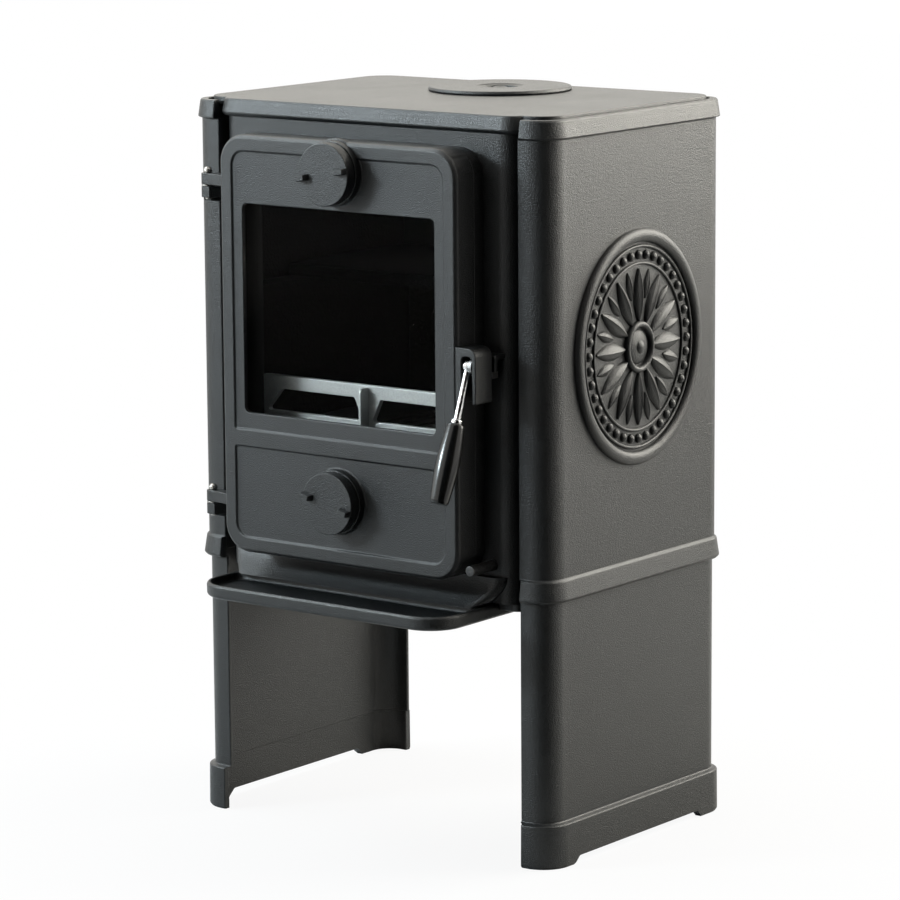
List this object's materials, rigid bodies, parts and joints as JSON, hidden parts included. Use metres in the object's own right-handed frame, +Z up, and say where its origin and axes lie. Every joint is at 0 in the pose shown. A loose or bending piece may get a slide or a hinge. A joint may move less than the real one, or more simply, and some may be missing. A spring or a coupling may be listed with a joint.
{
  "type": "wood stove",
  "caption": "Cast-iron wood stove on panel legs: glazed door with air valves and latch, ash lip, hotplate with blanked flue hole, rear flue, firebox with grate and ash pan.",
  "frame": {"origin": "on the floor, at the middle of the footprint", "axes": "+Z up, +X to the right of someone facing the door, -Y out of the door"},
  "size_m": [0.4444, 0.4182, 0.7173],
  "materials": {
    "cast_iron": "matt dark grey stove paint on sand-cast iron",
    "grate_iron": "bare, heat-darkened",
    "steel": "plain steel, slightly dulled",
    "chrome": "bright",
    "pan_steel": "folded sheet, dusty",
    "grip": "polished black",
    "rope": "braided glass fibre",
    "glass": "clear ceramic glass",
    "firebrick": "rough, sooty"
  },
  "bodies": {
    "stove_body": {"right_side_panel": "cast_iron", "left_side_panel": "cast_iron", "right_leg_panel": "cast_iron", "left_leg_panel": "cast_iron", "hotplate": "cast_iron", "flue_cover": "cast_iron", "front_casting": "cast_iron", "right_firebox_wall": "cast_iron", "left_firebox_wall": "cast_iron", "firebox_back": "cast_iron", "hearth_plate": "cast_iron", "rear_flue_spigot": "cast_iron", "flue_cover_clamp": "grate_iron", "grate_frame": "grate_iron", "log_guard": "grate_iron", "right_panel_spacer_upper": "steel", "left_panel_spacer_upper": "steel", "right_panel_spacer_lower": "steel", "left_panel_spacer_lower": "steel", "right_leg_bracket": "steel", "left_leg_bracket": "steel", "right_leg_bolt": "steel", "left_leg_bolt": "steel", "flue_cover_bolt": "steel", "flue_cover_nut": "steel", "right_spigot_bolt": "steel", "left_spigot_bolt": "steel", "upper_hinge_pin": "chrome", "lower_hinge_pin": "chrome", "upper_hinge_washer": "chrome", "lower_hinge_washer": "chrome", "right_firebrick": "firebrick", "left_firebrick": "firebrick", "back_firebrick": "firebrick", "baffle_plate": "firebrick"},
    "ash_pan_body": {"ash_pan": "pan_steel"},
    "grate_body": {"riddling_grate": "grate_iron"},
    "rod_body": {"riddling_rod": "steel"},
    "door_body": {"door_casting": "cast_iron", "door_seal": "rope", "door_glass": "glass", "glass_seal": "rope", "glass_retainer_top": "steel", "glass_retainer_bottom": "steel", "retainer_screw_top_right": "steel", "retainer_screw_top_left": "steel", "retainer_screw_bottom_right": "steel", "retainer_screw_bottom_left": "steel", "latch_pivot_pin": "chrome"},
    "upper_stud_body": {"upper_valve_stud": "steel"},
    "upper_disc_body": {"upper_valve_disc": "cast_iron"},
    "lower_stud_body": {"lower_valve_stud": "steel"},
    "lower_disc_body": {"lower_valve_disc": "cast_iron"},
    "handle_body": {"latch_lever": "steel", "handle_rod": "chrome", "handle_ferrule": "chrome", "handle_grip": "grip"}
  },
  "joints": [
    {"name": "door_swing", "type": "hinge", "parent": "stove_body", "child": "door_body", "pos_m": [-0.181, -0.13216, 0.47], "axis": [0, 0, -1], "range_deg": [0, 120]},
    {"name": "handle_lift", "type": "hinge", "parent": "door_body", "child": "handle_body", "pos_m": [0.152, -0.15496, 0.4832], "axis": [-1, 0, 0], "range_deg": [0, 60]},
    {"name": "upper_valve_travel", "type": "slide", "parent": "door_body", "child": "upper_stud_body", "axis": [0, -1, 0], "range_m": [0, 0.0121]},
    {"name": "upper_valve_turn", "type": "hinge", "parent": "upper_stud_body", "child": "upper_disc_body", "pos_m": [0, -0.17616, 0.654], "axis": [0, 1, 0], "range_deg": [0, 1080]},
    {"name": "lower_valve_travel", "type": "slide", "parent": "door_body", "child": "lower_stud_body", "axis": [0, -1, 0], "range_m": [0, 0.0121]},
    {"name": "lower_valve_turn", "type": "hinge", "parent": "lower_stud_body", "child": "lower_disc_body", "pos_m": [0, -0.17616, 0.34], "axis": [0, 1, 0], "range_deg": [0, 1080]},
    {"name": "riddling_pull", "type": "slide", "parent": "stove_body", "child": "rod_body", "axis": [0, -1, 0], "range_m": [0, 0.03]},
    {"name": "grate_turn", "type": "hinge", "parent": "stove_body", "child": "grate_body", "pos_m": [0, 0.02634, 0.383], "axis": [0, 0, -1], "range_deg": [0, 11.5]},
    {"name": "ash_pan_slide", "type": "slide", "parent": "stove_body", "child": "ash_pan_body", "axis": [0, -1, 0], "range_m": [0, 0.036]}
  ],
  "couplings": [
    {"joint": "upper_valve_travel", "follows": "upper_valve_turn", "m_per_rad": 0.00063662},
    {"joint": "lower_valve_travel", "follows": "lower_valve_turn", "m_per_rad": 0.00063662},
    {"joint": "grate_turn", "follows": "riddling_pull", "rad_per_m": 6.6667}
  ]
}
